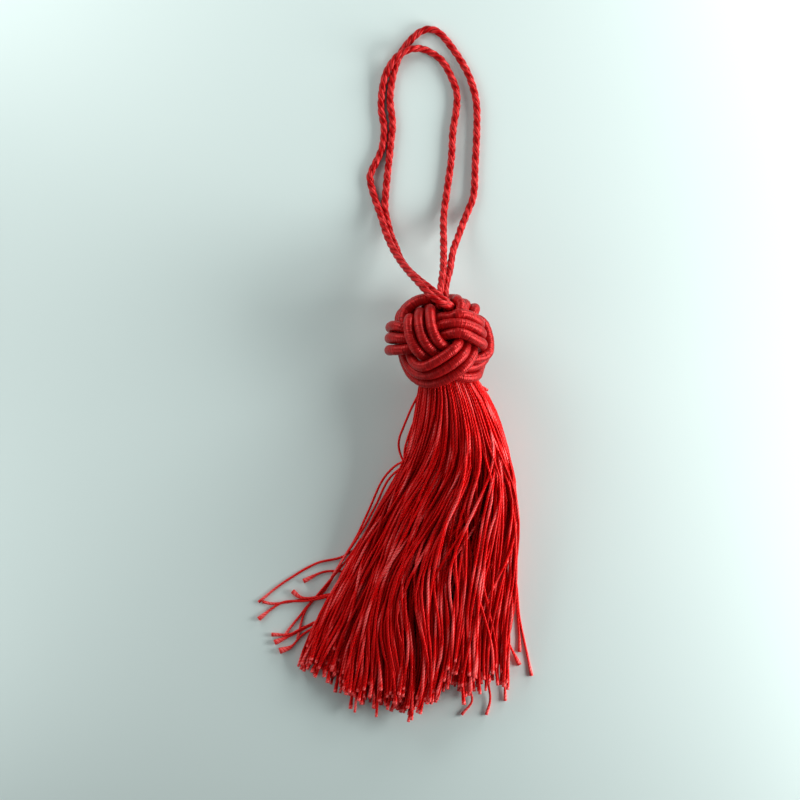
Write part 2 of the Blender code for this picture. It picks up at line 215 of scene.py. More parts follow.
INNER_ROUTE = (
    (-1.5, 3.7, 12.8), (-1.45, 4.3, 13.15), (-1.4, 5.0, 13.2), (-1.35, 5.9, 13.0), (-1.25, 7.0, 12.35),
    (-1.05, 8.2, 11.65), (-0.85, 9.7, 10.55), (-0.6, 12.0, 8.6), (-0.5, 16.3, 5.1), (-0.5, 20.9, 2.1),
    (-0.3, 23.6, 1.1), (0.2, 27.1, 0.65), (1.1, 33.7, 0.65), (1.4, 39.1, 0.65), (2.1, 43.7, 0.65),
    (2.2, 46.8, 0.65), (1.3, 49.7, 0.65), (-0.8, 53.4, 0.65), (-3.7, 55.4, 0.8), (-6.0, 55.8, 1.6),
    (-8.3, 55.1, 2.25), (-10.6, 53.2, 2.2), (-12.4, 49.6, 0.9), (-13.0, 44.2, 0.65), (-12.4, 39.9, 0.65),
    (-12.9, 35.6, 0.65), (-14.9, 31.2, 0.65), (-15.2, 29.4, 0.65), (-14.2, 25.6, 0.8), (-13.3, 23.0, 1.7),
    (-12.5, 20.4, 2.7), (-11.7, 17.9, 4.0), (-10.5, 15.3, 6.0), (-9.2, 13.1, 8.4), (-7.6, 10.9, 11.4),
    (-6.2, 9.3, 13.6), (-4.9, 7.8, 15.3), (-3.8, 6.6, 16.3), (-2.7, 5.6, 16.8), (-1.5, 4.7, 16.9),
    (-0.3, 4.1, 16.6), (0.6, 3.6, 15.9),
)
print("the loops go through", len(OUTER_ROUTE), "and", len(INNER_ROUTE), "places")

# %% Hanging loops
LOOP_DIAMETER = 1.5
LOOP_PLIES, LOOP_LAY = 3, 5.1
PLY_RELIEF = 0.22  # how deep the furrows between plies are, in radii
LOOP_SIDES, LOOP_RING_STEP = 24, 0.16
LOOP_SWELLS = ((0.02, 1.3, 0.0), (0.015, 3.1, 1.0))  # in radii, radians for each mm, and phase
LOOP_SHARP_EDGE = 120.0  # degrees, so that the furrows stay smooth
# the tone below 1 is darker dye, and above 1 the finish paints a pale sheen along the loops
TONE_SWING, TONE_WAVE = 0.2, 1.9  # how far the tone swings along the cord, and radians for each mm


def make_loop(name, points):
    """A laid cord: the section's radius at angle a is radius * (1 - relief + relief * |cos(plies * a / 2)|)
    times 1 + the swells, each depth * sin(rate * along + phase)."""
    route = through(points, LOOP_RING_STEP)[None]
    along = distance_along(route)
    angle = math.tau * np.arange(LOOP_SIDES) / LOOP_SIDES
    section = 1 - PLY_RELIEF + PLY_RELIEF * np.abs(np.cos(LOOP_PLIES * angle / 2))
    uneven = 1 + sum(depth * np.sin(along * rate + phase) for depth, rate, phase in LOOP_SWELLS)
    rings = swept(route, UP, LOOP_DIAMETER / 2 * uneven[..., None] * section, turn=-math.tau / LOOP_LAY)
    loop = add_tubes(name, rings, along, 1.0 + TONE_SWING * np.sin(along * TONE_WAVE), LOOP_SHARP_EDGE)
    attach(loop, "root")
    return loop


outer_loop = make_loop("hanging_loop_outer", OUTER_ROUTE)
inner_loop = make_loop("hanging_loop_inner", INNER_ROUTE)
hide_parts("loop_outer")
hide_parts("loop_inner")

# %% [markdown]
# ## The knotted ball
# A Turk's head knot plaits one cord round a ball. Here the cord has 3 leads and 4 bights, and it follows its
# own path three times. A sine and a cosine on a sphere give the plait, and then the cord is drawn tight: over
# and over, stretches that are nearer than the cord is thick push each other apart, while the cord's stiffness
# keeps its bends round. A soft-body simulation could tighten it too, but it is slower and harder to steer.

# %% The cord as it is first laid
BALL_CENTRE = np.array([-1.5, -3.8, 10.0])
BALL_RADIUS = 8.57
LEADS, BIGHTS, PLIES = 3, 4, 3
CORD_SPACING = 2.08  # between the middles of neighbouring plies
OVER_UNDER = 1.23  # how far a lead rises over, or dips under, the one it crosses
CROSSING_FLATNESS = 1.4  # the sine of it is raised by this and cut off at 1
BIGHT_LATITUDE_HEAD, BIGHT_LATITUDE_FOOT = 42.5, 28.0  # degrees
BIGHT_ROUNDING = 6.3  # degrees
BAND_SWAY = 8.3  # degrees
BALL_SPIN, BALL_TILT, BALL_ROLL = 18.0, 33.0, -7.5  # degrees
BALL_PULL = np.array([0.0, 0.375, 0.11])  # how far the bands are pulled to the head, in radii
EAR_AT, EAR_SPAN, EAR_HEIGHT = 200.0, 20.0, 1.0  # the slack bight at the left, in degrees and mm
SHIFT_AT, SHIFT_SPAN = 125.0, 45.0  # where one ply moves over to the next, degrees along the path
LAID_SAMPLES = 150  # points for each time round the path
ROUTE_STEP = 0.9


def turned(points, axis, degrees):
    """The points turned about a main axis (0, 1 or 2) by the right-hand rule."""
    angle = math.radians(degrees)
    first, second = (axis + 1) % 3, (axis + 2) % 3
    result = points.copy()
    result[:, first] = points[:, first] * math.cos(angle) - points[:, second] * math.sin(angle)
    result[:, second] = points[:, first] * math.sin(angle) + points[:, second] * math.cos(angle)
    return result


def knot_layout():
    """The cord as it is first laid. theta runs round the ball's axis, and swing = theta * BIGHTS / LEADS. The
    latitude goes as cos(swing) and the height over and under as sin((LEADS - 1) * swing), and PLIES times
    round the path lay as many plies side by side."""
    turn = np.arange(PLIES * LAID_SAMPLES) / LAID_SAMPLES
    turn = turn[turn < PLIES - SHIFT_SPAN / (360.0 * LEADS)]
    share = turn - np.floor(turn)
    theta = np.radians(SHIFT_AT + share * 360.0 * LEADS)
    swing = theta * BIGHTS / LEADS
    shift = smooth_step(1 - (1 - share) * 360.0 * LEADS / SHIFT_SPAN)
    ply = np.floor(turn) - (PLIES - 1) / 2 + shift
    reach = np.where(np.cos(swing) > 0, BIGHT_LATITUDE_HEAD, BIGHT_LATITUDE_FOOT)
    latitude = np.radians(reach * np.cos(swing) + BIGHT_ROUNDING * np.cos(3 * swing))
    azimuth = theta + math.radians(BAND_SWAY) * np.sin(2 * swing)
    out = [np.cos(latitude) * np.cos(azimuth), np.cos(latitude) * np.sin(azimuth), np.sin(latitude)]
    out = np.stack(out, axis=1)
    for axis, degrees in ((2, BALL_SPIN), (0, BALL_TILT - 90.0), (2, BALL_ROLL)):
        out = turned(out, axis, degrees)
    out = unit(out + BALL_PULL)
    side = unit(np.cross(out, np.gradient(out, axis=0)))
    slant = (ply * CORD_SPACING / BALL_RADIUS)[:, None]
    from_ear = (np.degrees(theta) - EAR_AT + 180 * LEADS) % (360 * LEADS) - 180 * LEADS
    height = OVER_UNDER * np.clip(CROSSING_FLATNESS * np.sin((LEADS - 1) * swing), -1, 1)
    height += EAR_HEIGHT * np.exp(-((from_ear / EAR_SPAN) ** 2))
    return BALL_CENTRE + (out * np.cos(slant) + side * np.sin(slant)) * (BALL_RADIUS + height)[:, None]


laid_route = evenly_spaced(knot_layout(), ROUTE_STEP)
print("the cord is first laid", round(float(distance_along(laid_route[None])[0, -1])), "mm long")

# %% The cord drawn tight
CORD_DIAMETER = 2.0
LOOP_CORE = 1.2  # how thick a hanging loop the knot keeps clear of
CLEARANCE = 0.32  # between pieces
#    the bound head inside: middle x, y, z, half-width, half-height
HEAD_SECTIONS = (
    (-1.3, -0.60, 10.0, 3.8, 3.8),
    (-1.3, -2.20, 10.0, 4.8, 4.8),
    (-1.3, -4.20, 9.8, 5.1, 5.1),
    (-0.8, -6.50, 9.0, 4.9, 4.9),
    (-0.2, -8.80, 8.1, 4.8, 4.8),
    (0.3, -10.60, 7.7, 5.1, 5.1),
)
HEAD_LINE_X, HEAD_LINE_Y, HEAD_LINE_SLOPE = 1.2, 5.5, 0.35  # the bights at the head are drawn down to it
TIGHTENING_ROUNDS, STIFF_SHARE = 260, 0.9  # it is stiff in the first nine tenths
NEIGHBOUR_SPAN = 1.7  # nearer than this along the cord, in diameters, its points don't push each other
SELF_PUSH, SOLID_PUSH, HEAD_LINE_PUSH = 0.5, 0.7, 0.5  # the share of a fault that one round mends
STIFFNESS, MEMORY = 0.3, 0.015  # how much it keeps its bends round, and its first place
LOOP_NEAR_BALL = 5.0  # how far from the ball a loop can still touch the cord


def push_out(points, others, reach):
    """How each point moves to be at least its reach from the others: its pushes' sum / sqrt(their number)."""
    apart = points[:, None] - others[None]
    distance = np.linalg.norm(apart, axis=2) + 1e-9
    lack = np.where(distance < reach, reach - distance, 0.0)
    share = np.sqrt(np.maximum((lack > 0).sum(axis=1), 1))
    return (apart / distance[..., None] * lack[..., None]).sum(axis=1) / share[:, None]


def knot_route(laid, loops):
    """The laid route drawn tight, clear of itself, the bound head and the hanging loops. Each round adds
    pushes - stiffness * (the neighbours' bend - its own) + memory * (laid - route)."""
    route = laid.copy()
    order = np.arange(len(route))
    neighbours = np.abs(order[:, None] - order[None]) * ROUTE_STEP < NEIGHBOUR_SPAN * CORD_DIAMETER
    apart = np.where(neighbours, 0.0, CORD_SPACING)
    solids = [section[:4] for section in HEAD_SECTIONS[1:]]
    solids = np.array(solids + [(*point, LOOP_CORE / 2) for point in loops])
    clear = solids[:, 3] + CORD_DIAMETER / 2 + CLEARANCE
    for round_number in range(TIGHTENING_ROUNDS):
        move = SELF_PUSH * push_out(route, route, apart) + SOLID_PUSH * push_out(route, solids[:, :3], clear)
        if round_number < STIFF_SHARE * TIGHTENING_ROUNDS:
            bend = np.pad((route[:-2] + route[2:]) / 2 - route[1:-1], ((1, 1), (0, 0)))
            uneven = np.pad((bend[1:-3] + bend[3:-1]) / 2 - bend[2:-2], ((2, 2), (0, 0)))
            move += -STIFFNESS * uneven + MEMORY * (laid - route)
        head_line = HEAD_LINE_Y - HEAD_LINE_SLOPE * np.maximum(route[:, 0] - HEAD_LINE_X, 0.0)
        move[:, 1] -= HEAD_LINE_PUSH * np.maximum(route[:, 1] - head_line, 0.0)
        move[1:-1] = (move[:-2] + 2 * move[1:-1] + move[2:]) / 4
        route += move
    return route


loop_points = np.vstack([through(OUTER_ROUTE, 0.5), through(INNER_ROUTE, 0.5)])
near_ball = np.linalg.norm(loop_points - BALL_CENTRE, axis=1) < BALL_RADIUS + LOOP_NEAR_BALL
tight_route = knot_route(laid_route, loop_points[near_ball])
print("drawn tight it is", round(float(distance_along(tight_route[None])[0, -1])), "mm long")

# %% The cord itself
KNOT_RADIUS = 1.03
KNOT_SIDES, KNOT_RING_STEP = 20, 0.21
SLOW_RATE, QUICK_RATE = 1.9, 7.3  # radians for each mm along


def lumps(along, way_round):
    """How uneven the satin cord is, in radii: two slow sines along it, and two quick ones that also wind
    round it, sin(quick * along + lobes * way round + a slow sine)."""
    slow, quick = along * SLOW_RATE, along * QUICK_RATE
    swells = 0.010 * np.sin(slow) + 0.008 * np.sin(2.3 * slow + 1.0)
    swells = swells + 0.012 * np.sin(quick + 2 * way_round + 1.7 * np.sin(slow / 2))
    return swells + 0.009 * np.sin(1.27 * quick - 3 * way_round + 2.0 * np.sin(slow / 3))


knot_line = through(tight_route, KNOT_RING_STEP)[None]
knot_along = distance_along(knot_line)
knot_round = math.tau * np.arange(KNOT_SIDES) / KNOT_SIDES
knot_radii = KNOT_RADIUS * (1 + lumps(knot_along[..., None], knot_round))
knot_rings = swept(knot_line, knot_line - BALL_CENTRE, knot_radii)
knot = add_tubes("satin_cord_ball", knot_rings, knot_along, np.ones(knot_along.shape))
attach(knot, "root")
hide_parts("knot")
print("the ball has", len(knot.data.polygons), "faces")

# %% [markdown]
# ## The bound head
# Inside the ball the threads are bound together into a firm head. Single threads could run on into the ball,
# but only glimpses of them would show between the cords, so one smooth lofted shape with the threads' own
# finish is enough: rings of points, each an oval of its own size, joined one to the next.

# %% Bound head
HEAD_SIDES = 40
HEAD_RIDGES = 0.012  # in half-widths
HEAD_TONE = 0.5  # darker than most of the threads
#    the sections above and below the others
HEAD_TOP_SECTIONS = ((-2.4, 3.3, 9.6, 0.3, 0.3), (-2.4, 2.6, 9.6, 2.2, 2.0), (-2.0, 1.1, 9.8, 3.2, 2.8))
HEAD_FOOT_SECTION = (0.6, -12.4, 7.4, 5.4, 5.2)


def make_head():
    """Rings across the bundle: middle + half-width * cos(angle) to the side + half-height * sin(angle) up."""
    sections = np.array([*HEAD_TOP_SECTIONS, *HEAD_SECTIONS, HEAD_FOOT_SECTION])
    angle = -math.tau * np.arange(HEAD_SIDES) / HEAD_SIDES
    ridged = 1 + HEAD_RIDGES * np.cos(angle * HEAD_SIDES / 2)
    x = sections[:, None, 0] + sections[:, None, 3] * ridged * np.cos(angle)
    z = sections[:, None, 2] + sections[:, None, 4] * ridged * np.sin(angle)
    y = np.broadcast_to(sections[:, None, 1], x.shape)
    rings = np.stack([x, y, z], axis=-1)[None]
    along = distance_along(sections[None, :, :3])
    return add_tubes("bound_head", rings, along, np.full(along.shape, HEAD_TONE))


head = make_head()
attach(head, "root")
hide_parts("skirt")
print("the bound head has", len(head.data.polygons), "faces")

# %% [markdown]
# ## The skirt's threads
# The skirt is 640 two-ply silk threads. They leave the ball as a round bundle and fall open into a flat
# fan. Hair particles could draw them, but nothing would keep them out of each other. Here every thread has a
# place in the bundle, which a few sections along the skirt turn into a place on the table. Threads belong to
# locks, which drift and turn about their own middles, so that threads cross as they do in real silk, and some
# wander off over the heap alone. Then the bundle settles: at each station, threads that are too close push
# each other apart, and none may sink into the table.

# %% Where a thread runs in the bundle
#    share, left x, left y, right x, right y, top, foot
SKIRT_SECTIONS = np.array((
    (-0.05, -5.0, -8.8, 4.8, -8.8, 12.9, 3.3),
    (-0.02, -4.9, -10.6, 6.2, -10.6, 12.8, 2.6),
    (0.00, -5.6, -12.3, 7.6, -11.9, 13.2, 1.6),
    (0.05, -6.0, -15.3, 9.2, -14.9, 12.9, 1.0),
    (0.15, -6.9, -21.4, 11.3, -20.3, 12.0, 0.0),
    (0.30, -8.8, -29.3, 13.5, -29.0, 10.4, 0.0),
    (0.50, -14.1, -39.4, 14.0, -39.1, 8.8, 0.0),
    (0.72, -20.8, -51.4, 13.1, -52.7, 7.0, 0.0),
    (0.90, -25.9, -61.0, 12.1, -63.7, 5.6, 0.0),
    (1.00, -27.7, -65.9, 11.6, -70.3, 4.6, 0.0),
    (1.26, -31.0, -77.7, 10.6, -87.4, 3.2, 0.0),
))
FLATTENED_BY = 0.4  # the share of the length from which the bundle is flat
SKIRT_RIM = 0.72  # how much the heap falls away to its rims
HEAP_LEAN = 0.38  # the heap is higher to the right and lower to the left by this share
SWAY, SWAY_WAVES, SWAY_LAG = 0.9, 1.2, 0.8  # millimetres, waves over the length, waves across half the width
SWEEP = 0.26  # how far the upper threads swing to the left half way down, in half-widths
SWEEP_FROM, SWEEP_GROWS, SWEEP_UNTIL, SWEEP_FADES = 0.15, 0.4, 0.62, 0.45  # shares of the length


def bundle_points(across, up, share):
    """Places in the skirt. A square of places (both from -1 to 1) becomes a disc at the neck, as
    (across sqrt(1 - up^2 / 2), up sqrt(1 - across^2 / 2)), and lower down a heap of the height
    top sqrt(1 - rim across^2) (1 + lean across). The sweep takes the upper threads to the left half way
    down, and the sway waves them from side to side, both by a share of 1 - across^2."""
    left_x, left_y, right_x, right_y, top, foot = (
        np.interp(share, SKIRT_SECTIONS[:, 0], SKIRT_SECTIONS[:, column]) for column in range(1, 7)
    )
    flat = smooth_step(share / FLATTENED_BY)
    inside_across, inside_up = np.clip(across, -1, 1), np.clip(up, -1, 1)
    swing = smooth_step((share - SWEEP_FROM) / SWEEP_GROWS)
    swing = swing - smooth_step((share - SWEEP_UNTIL) / SWEEP_FADES)
    across = across - SWEEP * swing * (inside_up + 1) / 2 * (1 - inside_across**2)
    disc_across = across * np.sqrt(1 - inside_up**2 / 2)
    disc_up = up * np.sqrt(1 - inside_across**2 / 2)
    sway = np.sin(math.tau * (SWAY_WAVES * share + SWAY_LAG * across))
    sway = SWAY * flat * (1 - inside_across**2) * sway
    place = ((1 - flat) * disc_across + flat * across + 1) / 2
    round_z = (top + foot) / 2 + disc_up * (top - foot) / 2
    heap = np.sqrt(1 - SKIRT_RIM * inside_across**2) * (1 + HEAP_LEAN * inside_across)
    flat_z = top * (up + 1) / 2 * heap
    x = left_x + place * (right_x - left_x) + sway
    y = left_y + place * (right_y - left_y)
    z = (1 - flat) * round_z + flat * flat_z
    return np.stack([x, y, z], axis=-1)


middle = bundle_points(np.zeros(1), np.zeros(1), np.ones(1))[0]
print("the skirt's middle thread ends at", middle.round(1))

# %% Places in the bundle, and locks
THREADS = 640
FILL_ACROSS, FILL_UP = 0.7548776662, 0.5698402910  # steps that fill a square evenly
LOCK_COLUMNS, LOCK_ROWS = 13, 4
LOCKS = LOCK_COLUMNS * LOCK_ROWS
LOCK_SCATTER = 0.35  # in columns and in rows
LOCK_NEARNESS = (1.0, 0.10)  # a step up counts less than one across
rng = np.random.default_rng(11)


def even_places(step):
    """One place from -1 to 1 for each thread: 2 * (the fraction of 0.5 + thread number * step) - 1."""
    return 2 * ((0.5 + np.arange(THREADS) * step) % 1) - 1


start_across, start_up = even_places(FILL_ACROSS), even_places(FILL_UP)
column, row = np.arange(LOCKS) % LOCK_COLUMNS, np.arange(LOCKS) // LOCK_COLUMNS
staggered = column + 0.5 + 0.5 * (row % 2 - 0.5) + rng.uniform(-LOCK_SCATTER, LOCK_SCATTER, LOCKS)
lock_across = 2 * staggered / LOCK_COLUMNS - 1
lock_up = 2 * (row + 0.5 + rng.uniform(-LOCK_SCATTER, LOCK_SCATTER, LOCKS)) / LOCK_ROWS - 1
away = np.stack([start_across, start_up], axis=1)[:, None] - np.stack([lock_across, lock_up], axis=1)[None]
lock = np.argmin((away**2 * LOCK_NEARNESS).sum(axis=2), axis=1)
print(THREADS, "threads in", LOCKS, "locks of", np.bincount(lock).min(), "to", np.bincount(lock).max())

# %% Locks drift and turn
STATIONS = np.linspace(-0.05, 1.25, 40)  # the shares of the skirt's length where threads are worked out
HALF_WIDTH, HALF_HEIGHT = 14.0, 4.0  # of the bundle, to measure a lock in millimetres
LOCK_DRIFT, LOCK_LIFT = 0.085, 0.16  # how far locks go astray, in half-widths and half-heights
LOCK_SWAY, LOCK_HEAVE, HEAVE_WAVES = 0.055, 0.22, 1.3  # how far they wave, and how many times faster up
LOCK_TWIST = 1.9  # radians
LOCK_GATHERING, LOCK_TIGHTNESS = 0.72, 0.35  # how far a lock draws together, as the product of the two


def growing(start, span):
    """A share that grows from 0 to 1 along the skirt: step((share of the length - start) / span)."""
    return smooth_step((STATIONS - start) / span)[None]


opening, loose = growing(start=0.06, span=0.9), growing(start=0.02, span=0.35)
lock_drift = rng.normal(0, LOCK_DRIFT, LOCKS)
lock_lift = rng.normal(0.0, LOCK_LIFT, LOCKS)
lock_waves = rng.uniform(0.5, 1.1, LOCKS)[:, None]
lock_phase = rng.uniform(0, math.tau, LOCKS)[:, None]
lock_line_across = lock_across[:, None] + opening * lock_drift[:, None]
lock_line_across += LOCK_SWAY * loose * np.sin(math.tau * lock_waves * STATIONS + lock_phase)
lock_line_up = lock_up[:, None] + opening * lock_lift[:, None]
lock_line_up += LOCK_HEAVE * loose * np.sin(math.tau * HEAVE_WAVES * lock_waves * STATIONS + 2 * lock_phase)
lock_turn = (rng.normal(0, LOCK_TWIST, LOCKS)[:, None] * opening)[lock]
gathered = LOCK_GATHERING * growing(start=0.10, span=0.45)

#    a thread's place in its lock is turned: (across cos - up sin, across sin + up cos)
offset_across = (start_across - lock_across[lock])[:, None] * HALF_WIDTH
offset_up = (start_up - lock_up[lock])[:, None] * HALF_HEIGHT
turned_across = (np.cos(lock_turn) * offset_across - np.sin(lock_turn) * offset_up) / HALF_WIDTH
turned_up = (np.sin(lock_turn) * offset_across + np.cos(lock_turn) * offset_up) / HALF_HEIGHT
tightness = 1 - LOCK_TIGHTNESS * gathered
across_in_lock = lock_line_across[lock] + turned_across * tightness
up_in_lock = lock_line_up[lock] + turned_up * tightness
mixed = growing(start=0.03, span=0.30)
across = start_across[:, None] * (1 - mixed) + across_in_lock * mixed
up = start_up[:, None] * (1 - mixed) + up_in_lock * mixed
print("by the cut a lock has turned by up to", round(math.degrees(np.abs(lock_turn).max())), "degrees")

# %% Threads that wander
WANDERING_SHARE, WANDERING_FROM = 0.36, -0.3  # of the threads, and the lowest place up in the bundle
RIM_FROM, RIM_GIVE, RIM_CATCH = 0.97, 0.5, 6.0  # past the rim a thread gets give * over / (1 + catch * over)
HIGHEST_PLACE = 1.15
WAVE_ACROSS, WAVE_UP = 0.42, 0.22  # millimetres

wanders = (rng.random(THREADS) < WANDERING_SHARE) & (start_up > WANDERING_FROM)
own_drift = np.where(wanders, rng.normal(-0.03, 0.20, THREADS), rng.normal(0, 0.07, THREADS))[:, None]
own_start = np.where(wanders, rng.uniform(0.0, 0.6, THREADS), 0.1)[:, None]
own_opening = smooth_step((STATIONS - own_start) / 0.55)
across = across + own_opening * own_drift
own_lift = np.where(wanders, rng.uniform(0.2, 1.0, THREADS), rng.normal(0, 0.08, THREADS))[:, None]
up = up + own_opening * own_lift
over = np.maximum(np.abs(across) - RIM_FROM, 0.0)
kept_in = np.minimum(np.abs(across), RIM_FROM) + RIM_GIVE * over / (1 + RIM_CATCH * over)
across = np.sign(across) * kept_in
up = np.clip(up, -1, HIGHEST_PLACE)
threads = bundle_points(across, up, STATIONS[None])
waves = rng.uniform(1.2, 3.6, (THREADS, 2))
phases = rng.uniform(0, math.tau, (THREADS, 2))
threads[..., 0] += WAVE_ACROSS * loose * np.sin(math.tau * waves[:, :1] * STATIONS + phases[:, :1])
threads[..., 2] += WAVE_UP * loose * np.sin(math.tau * waves[:, 1:] * STATIONS + phases[:, 1:])
print(int(wanders.sum()), "threads wander over the heap")

# %% The bundle settles
THREAD_RADIUS = 0.25
SETTLING_ROUNDS, SMOOTHING_ROUNDS = 34, 3
NEIGHBOURS = 38  # how many threads to its right each one is compared with
LENGTHWISE_GIVE = 0.2  # threads hardly move along the skirt
TABLE_GAP = 0.01
#    threads are squeezed at the neck: shares of the length, and the radius there
THINNING_SHARES, THINNED_RADII = (-0.05, 0.0, 0.12, 0.3), (0.15, 0.205, 0.24, THREAD_RADIUS)
thinning = np.interp(STATIONS, THINNING_SHARES, THINNED_RADII)


def settled(places):
    """Threads pushed apart. At each station they are sorted by x, each is compared with the next few, and two
    that are nearer than a thread's width share the move that parts them. A thread's move is the sum of its
    pushes / sqrt(their number), smoothed along the thread as (before + 2 * own + after) / 4."""
    places = places.copy()
    for _ in range(SETTLING_ROUNDS):
        order = np.argsort(places[..., 0], axis=0)
        row = np.take_along_axis(places, order[..., None], axis=0)
        move = np.zeros_like(row)
        pushes = np.ones(row.shape[:2])
        for offset in range(1, NEIGHBOURS + 1):
            between = row[offset:] - row[:-offset]
            distance = np.linalg.norm(between, axis=2) + 1e-6
            lack = np.maximum(2 * thinning[None] - distance, 0.0)
            push = between / 2 * (lack / distance)[..., None]
            move[offset:] += push
            move[:-offset] -= push
            pushes[offset:] += lack > 0
            pushes[:-offset] += lack > 0
        move /= np.sqrt(pushes)[..., None]
        unsorted = np.empty_like(move)
        np.put_along_axis(unsorted, np.broadcast_to(order[..., None], move.shape), move, axis=0)
        unsorted[:, 1:-1] = (unsorted[:, :-2] + 2 * unsorted[:, 1:-1] + unsorted[:, 2:]) / 4
        unsorted[..., 1] *= LENGTHWISE_GIVE
        unsorted[:, 0] = 0.0
        places += unsorted
        places[..., 2] = np.maximum(places[..., 2], thinning + TABLE_GAP)
    for _ in range(SMOOTHING_ROUNDS):
        places[:, 1:-1] = (places[:, :-2] + 2 * places[:, 1:-1] + places[:, 2:]) / 4
    return places


threads = settled(threads)
half_way = len(STATIONS) // 2
print("the skirt's heap is", threads[:, half_way, 2].max().round(1), "mm high half way down")

# %% Where threads are cut
NEAR_CUT = 30  # the station where a thread's place across the skirt says how far it reaches
#    places across the skirt, and how far threads reach there, in its lengths
REACH_ACROSS = (-1.0, -0.6, -0.38, 0.2, 0.5, 0.75, 0.92, 1.0)
REACH = (0.99, 1.05, 1.125, 1.105, 1.0, 0.995, 0.965, 0.97)
LOCK_UNEVENNESS, THREAD_UNEVENNESS, UPPER_REACH = 0.028, 0.022, 0.02
LONGEST = 1.24
#    rings stand closer together at the neck and at the cut
RING_SHARES = np.array((0.0, 0.04, 0.085, *np.linspace(0.13, 0.93, 17), 0.965, 0.985, 1.0))

reach = np.interp(across[:, NEAR_CUT], REACH_ACROSS, REACH)
reach = reach + rng.normal(0, LOCK_UNEVENNESS, LOCKS)[lock] + rng.normal(0, THREAD_UNEVENNESS, THREADS)
reach = np.minimum(reach + UPPER_REACH * up[:, NEAR_CUT], LONGEST)
ring_share = STATIONS[0] + (reach[:, None] - STATIONS[0]) * RING_SHARES[None]


def at_shares(places, shares):
    """The threads at other shares of the length: (1 - part) * one station + part * the next."""
    position = np.clip((shares - STATIONS[0]) / (STATIONS[1] - STATIONS[0]), 0, len(STATIONS) - 1.001)
    station = position.astype(int)
    part = (position - station)[..., None]
    row = np.arange(len(places))[:, None]
    return places[row, station] * (1 - part) + places[row, station + 1] * part


lines = at_shares(threads, ring_share)
lines_along = distance_along(lines)
print("threads are", lines_along[:, -1].min().round(1), "to", lines_along[:, -1].max().round(1), "mm long")

# %% Threads as tubes
THREAD_SIDES = 5
FULLNESS = 1.06  # so that a tube of five sides looks as wide as a round one
WIDEST_FRAY = 1.6  # how many times wider a frayed end can be
CUT_TONE = 2.6
# painted highlights: these shares of the threads get waves of pale glints painted along them
PAINTED_GLINT_WANDERERS, PAINTED_GLINT_THREADS = 0.6, 0.15  # shares of the threads that wander, and of all
PAINTED_GLINT_SHARPNESS = 1.5
WRAP_SCATTER = 3.0  # millimetres, so that the twists of two threads aren't in step

radii = np.interp(ring_share, STATIONS, thinning) * FULLNESS
frayed = rng.uniform(1.0, WIDEST_FRAY, THREADS)
radii[:, -2:] *= frayed[:, None]
radii[:, -3] *= (frayed + 1) / 2
rings = swept(lines, UP, np.repeat(radii[..., None], THREAD_SIDES, axis=-1))
dye = np.clip(rng.normal(0.78, 0.20, THREADS), 0.45, 1.0)[:, None]
# painted highlights: each thread's tone is its dye plus waves of pale painted highlights, strong on the
# chosen threads and faint on the others
has_painted_glint = (wanders & (rng.random(THREADS) < PAINTED_GLINT_WANDERERS)) | (rng.random(THREADS) < PAINTED_GLINT_THREADS)
painted_glint_strength = np.where(has_painted_glint, rng.uniform(0.6, 1.4, THREADS), rng.uniform(0.0, 0.4, THREADS))[:, None]
painted_glint_waves = rng.uniform(2.5, 6.0, (THREADS, 1))
painted_glint = np.sin(math.tau * (painted_glint_waves * ring_share + rng.random((THREADS, 1))))
thread_dye_and_painted_glint = dye + painted_glint_strength * np.maximum(painted_glint, 0.0) ** PAINTED_GLINT_SHARPNESS
# the cut end's tone; between the last two rings the tone also passes through the painted sheen
thread_dye_and_painted_glint[:, -1] = CUT_TONE
wrap_start = rng.uniform(0, WRAP_SCATTER, THREADS)[:, None]
skirt = add_tubes("skirt_threads", rings, lines_along + wrap_start, thread_dye_and_painted_glint)
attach(skirt, "root")
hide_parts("skirt")
print("the skirt has", len(skirt.data.polygons), "faces")
